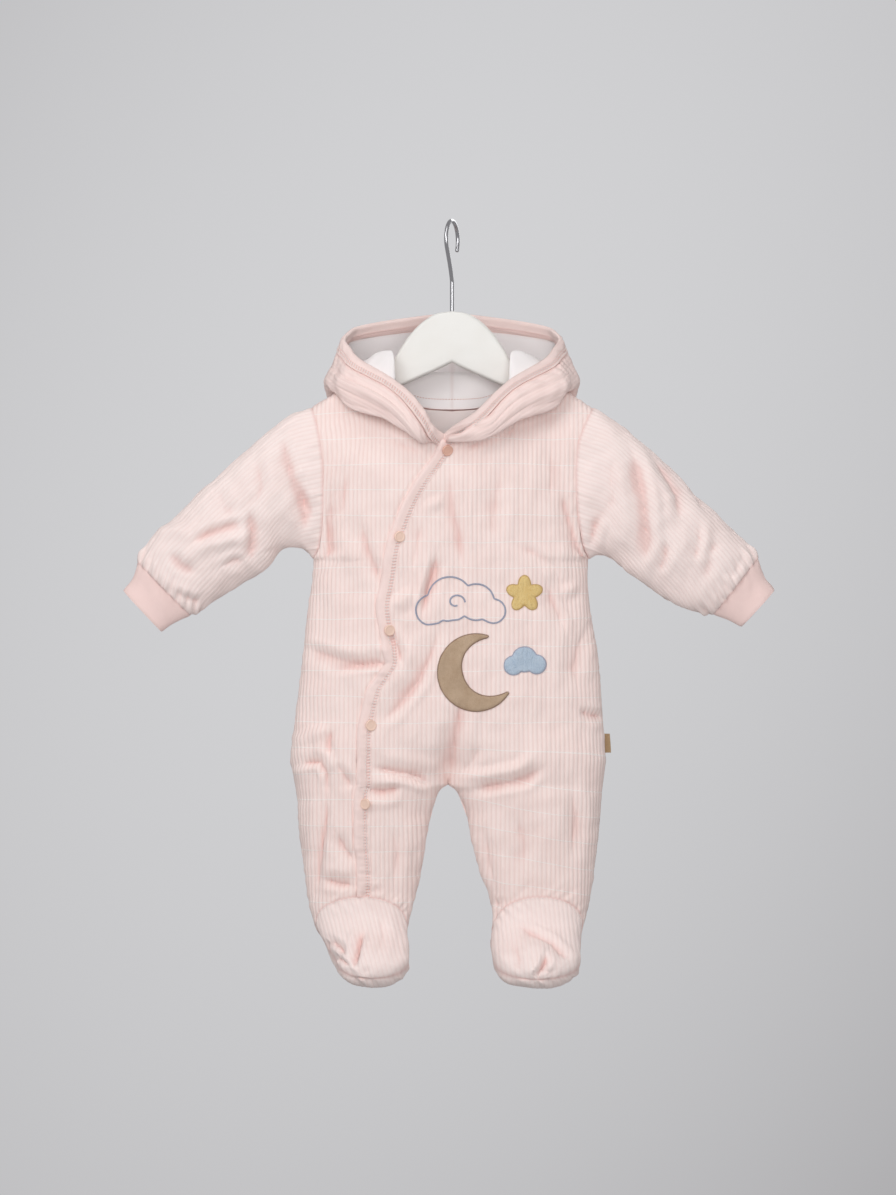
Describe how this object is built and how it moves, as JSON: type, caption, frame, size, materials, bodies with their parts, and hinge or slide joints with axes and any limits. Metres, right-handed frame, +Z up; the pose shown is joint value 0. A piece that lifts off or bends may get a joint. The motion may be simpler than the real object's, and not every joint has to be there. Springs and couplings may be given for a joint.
{
  "type": "padded hooded baby romper on a child's hanger",
  "caption": "Padded rib-knit baby romper with hood, wrap front with snaps, cuffs and feet, hanging open and empty on a small wooden hanger with a wire hook.",
  "frame": {"origin": "the inner top of the hanger's hook, where it bears on a rail", "axes": "+Z up, the garment's front faces -Y, +X is the wearer's left"},
  "size_m": [0.6536, 0.161, 0.7661],
  "materials": {
    "rib_knit": "padded pink rib knit, matt",
    "plain_knit": "plain pink knit binding and cuffs",
    "lining": "white brushed lining",
    "pink_lining": "pale pink lining",
    "snap": "peach plastic, semi-matt",
    "tan_velour": "short-pile tan velour",
    "yellow_terry": "yellow terry",
    "blue_terry": "pale blue terry",
    "thread": "grey-lavender embroidery thread",
    "tape": "tan woven tape",
    "paint": "wood under off-white satin paint",
    "chrome": "polished steel wire"
  },
  "bodies": {
    "root": {"front_overlap": "rib_knit", "front_underlap": "rib_knit", "back": "rib_knit", "sleeve_left": "rib_knit", "sleeve_right": "rib_knit", "cuff_left": "plain_knit", "cuff_right": "plain_knit", "hood_left": "rib_knit", "hood_right": "rib_knit", "hood_lining_left": "lining", "hood_lining_right": "lining", "hood_rim": "plain_knit", "wrap_binding": "plain_knit", "back_neck_lining": "pink_lining", "vamp_left": "rib_knit", "vamp_right": "rib_knit", "sole_left": "rib_knit", "sole_right": "rib_knit", "snap_1": "snap", "snap_2": "snap", "snap_3": "snap", "snap_4": "snap", "snap_5": "snap", "applique_moon": "tan_velour", "applique_star": "yellow_terry", "applique_cloud": "blue_terry", "label_tab": "tape", "hanger_board": "paint", "hanger_hook": "chrome"}
  },
  "joints": []
}
